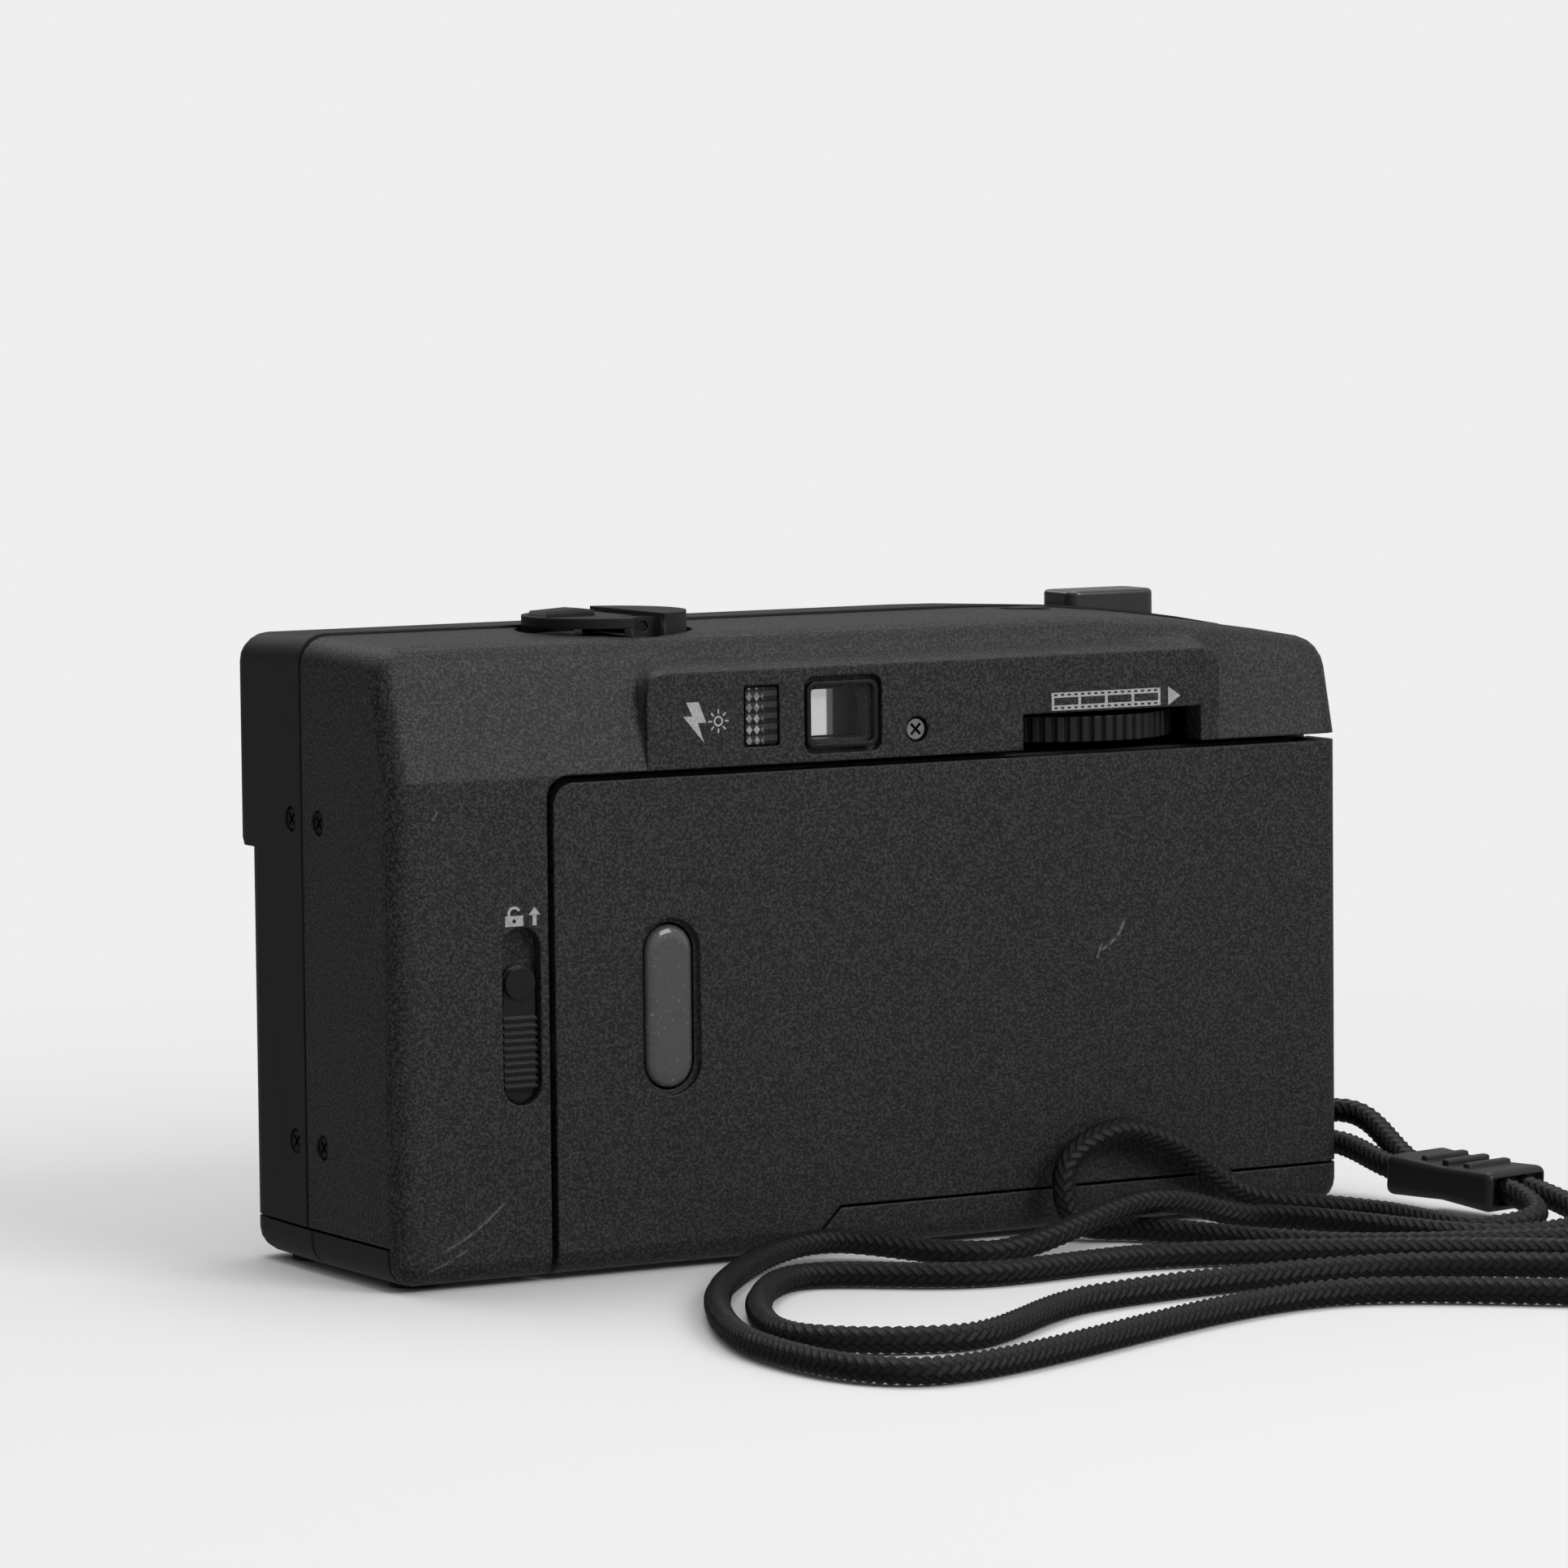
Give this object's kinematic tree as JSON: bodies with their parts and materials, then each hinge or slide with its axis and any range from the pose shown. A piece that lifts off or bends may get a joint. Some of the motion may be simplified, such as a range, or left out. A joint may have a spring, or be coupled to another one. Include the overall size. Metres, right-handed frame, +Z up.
{
  "type": "compact 35 mm film camera with built-in flash",
  "caption": "Compact 35 mm viewfinder camera with built-in flash, hinged film door, thumbwheel advance, folding rewind crank and wrist strap.",
  "frame": {"origin": "on the table under the middle of the camera, level with the rubber feet", "axes": "+X to the end with the batteries and film cassette, -Y out of the lens, +Y out of the film door, +Z up"},
  "size_m": [0.143, 0.1324, 0.0759],
  "materials": {
    "shell_black": "fine grain",
    "grained": "leather-like grain, worn smooth on the edges",
    "gloss_black": "polished",
    "clear": "clear moulded plastic",
    "lens_glass": "coated",
    "steel": "stamped and plated",
    "chrome": "bright",
    "brass": "plain",
    "rubber": "matt",
    "board": "lacquered circuit board",
    "cell": "printed jacket",
    "white": "plain",
    "lamp": "orange lens",
    "cord": "tight braid",
    "slider": "satin"
  },
  "bodies": {
    "camera_body": {"front_shell": "shell_black", "rear_shell": "grained", "chassis": "shell_black", "hinge_pin": "steel", "battery_box": "shell_black", "battery_door_pin": "steel", "battery_rear": "cell", "battery_front": "cell", "battery_contact_top": "steel", "flash_window": "clear", "flash_reflector": "steel", "flash_tube": "white", "flash_capacitor": "shell_black", "circuit_board": "board", "ready_window": "clear", "ready_lamp": "lamp", "eyepiece_frame": "gloss_black", "eyepiece_lens": "lens_glass", "finder_window": "clear", "finder_tube": "shell_black", "counter_window": "clear", "shutter_spring": "steel", "lens_barrel": "shell_black", "front_element": "lens_glass", "rear_element": "lens_glass", "shutter_plate": "shell_black", "tripod_socket": "brass", "strap_pin": "steel", "foot_shutter_end_rear": "rubber", "foot_shutter_end_front": "rubber", "side_screw_front_high": "steel", "side_screw_front_low": "steel", "side_screw_rear_high": "steel", "side_screw_rear_low": "steel", "strap_slider": "slider", "strap_cord": "cord", "rear_screw": "chrome"},
    "film_door": {"film_door": "grained", "cassette_window": "clear", "pressure_plate": "shell_black", "pressure_spring": "steel", "latch_catch": "steel"},
    "latch": {"latch_slider": "grained", "latch_hook": "steel"},
    "battery_door": {"battery_door": "shell_black", "battery_contact_door": "brass", "foot_battery_end_rear": "rubber", "foot_battery_end_front": "rubber"},
    "rewind": {"rewind_knob": "shell_black", "rewind_fork": "shell_black", "crank_pin": "steel"},
    "crank": {"rewind_crank": "shell_black"},
    "wheel": {"advance_wheel": "shell_black"},
    "spool": {"takeup_spool": "shell_black"},
    "sprocket": {"sprocket": "shell_black"},
    "dial": {"counter_dial": "white"},
    "button": {"shutter_button": "gloss_black"},
    "blade": {"shutter_blade": "steel"},
    "release": {"rewind_release_button": "shell_black"},
    "switch": {"flash_switch": "shell_black"}
  },
  "joints": [
    {"name": "film_door_hinge", "type": "hinge", "parent": "camera_body", "child": "film_door", "pos_m": [-0.06185, 0.0142, 0.03], "axis": [0, 0, 1], "range_deg": [0, 95], "deforming": ["strap_cord", "strap_slider"]},
    {"name": "latch_slide", "type": "slide", "parent": "camera_body", "child": "latch", "axis": [0, 0, 1], "range_m": [0, 0.004], "stiffness_N_per_m": 120},
    {"name": "battery_door_hinge", "type": "hinge", "parent": "camera_body", "child": "battery_door", "pos_m": [0.04555, 0.002, 0.0023], "axis": [0, 1, 0], "range_deg": [0, 95]},
    {"name": "rewind_turn", "type": "hinge", "parent": "camera_body", "child": "rewind", "pos_m": [0.0285, 0.0076, 0.072], "axis": [0, 0, 1], "continuous": true},
    {"name": "crank_fold", "type": "hinge", "parent": "rewind", "child": "crank", "pos_m": [0.0271, 0.0076, 0.0739], "axis": [0, -1, 0], "range_deg": [0, 110]},
    {"name": "advance_turn", "type": "hinge", "parent": "camera_body", "child": "wheel", "pos_m": [-0.03205, 0.0084, 0.0599], "axis": [0, 0, 1], "continuous": true},
    {"name": "takeup_turn", "type": "hinge", "parent": "camera_body", "child": "spool", "pos_m": [-0.046, 0.0076, 0.03], "axis": [0, 0, 1], "continuous": true},
    {"name": "sprocket_turn", "type": "hinge", "parent": "camera_body", "child": "sprocket", "pos_m": [-0.0326, 0.0139, 0.03], "axis": [0, 0, 1], "continuous": true},
    {"name": "counter_turn", "type": "hinge", "parent": "camera_body", "child": "dial", "pos_m": [-0.03205, 0.0084, 0.0692], "axis": [0, 0, 1], "continuous": true},
    {"name": "shutter_press", "type": "slide", "parent": "camera_body", "child": "button", "axis": [0, 0, -1], "range_m": [0, 0.0012], "stiffness_N_per_m": 700, "deforming": ["shutter_spring"]},
    {"name": "blade_swing", "type": "hinge", "parent": "camera_body", "child": "blade", "pos_m": [0.00065, -0.0072, 0.03185], "axis": [0, 1, 0], "range_deg": [0, 50]},
    {"name": "release_press", "type": "slide", "parent": "camera_body", "child": "release", "axis": [0, 0, 1], "range_m": [0, 0.0008], "stiffness_N_per_m": 300},
    {"name": "flash_switch_slide", "type": "slide", "parent": "camera_body", "child": "switch", "axis": [1, 0, 0], "range_m": [0, 0.004]}
  ],
  "couplings": [
    {"joint": "takeup_turn", "follows": "advance_turn", "ratio": 1.2},
    {"joint": "sprocket_turn", "follows": "advance_turn", "ratio": 0.75},
    {"joint": "counter_turn", "follows": "advance_turn", "ratio": 0.04},
    {"joint": "blade_swing", "follows": "shutter_press", "rad_per_m": 720}
  ]
}
